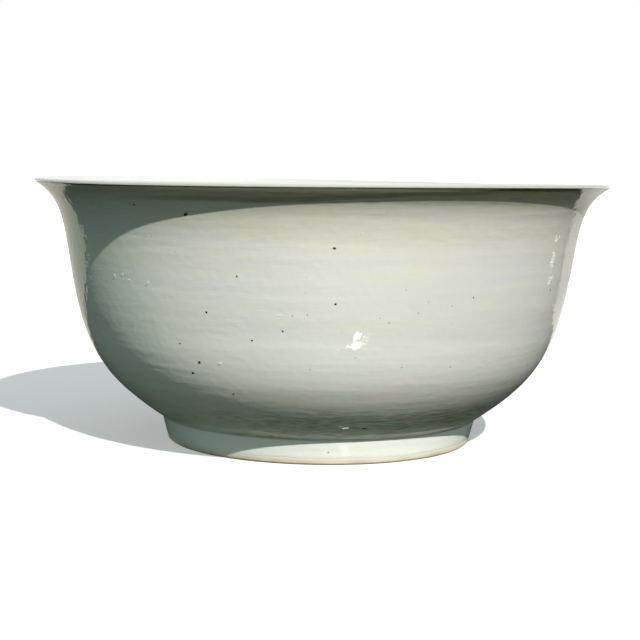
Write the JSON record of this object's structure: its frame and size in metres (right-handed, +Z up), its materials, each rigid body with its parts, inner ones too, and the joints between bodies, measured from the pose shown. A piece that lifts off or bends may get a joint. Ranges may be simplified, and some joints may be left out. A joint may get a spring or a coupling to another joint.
{
  "type": "centerpiece bowl",
  "caption": "Large deep bowl with a flared lip, a rounded belly and a straight turned foot ring, in plain pale celadon glaze over stoneware, bare at the foot's standing edge.",
  "frame": {"origin": "on the bowl's axis, at the level of the foot's standing edge", "axes": "+Z up the bowl's axis towards the mouth; X and Y are any two radii, because the bowl is round"},
  "size_m": [0.42, 0.42, 0.1925],
  "materials": {
    "bare_clay": "unglazed fired clay, matt and slightly gritty, pinkish buff",
    "dry_slip": "unglazed fired slip, matt",
    "celadon_glaze": "glossy pale celadon with faint throwing bands and scattered iron specks",
    "thin_lip_glaze": "glossy and paler, where the glaze runs thin over the lip"
  },
  "bodies": {
    "root": {"clay_bowl": "bare_clay", "foot_ring": "bare_clay", "slip_joint": "dry_slip", "outer_glaze": "celadon_glaze", "foot_glaze": "celadon_glaze", "lip_glaze": "thin_lip_glaze", "inner_glaze": "celadon_glaze", "base_glaze": "celadon_glaze"}
  },
  "joints": []
}
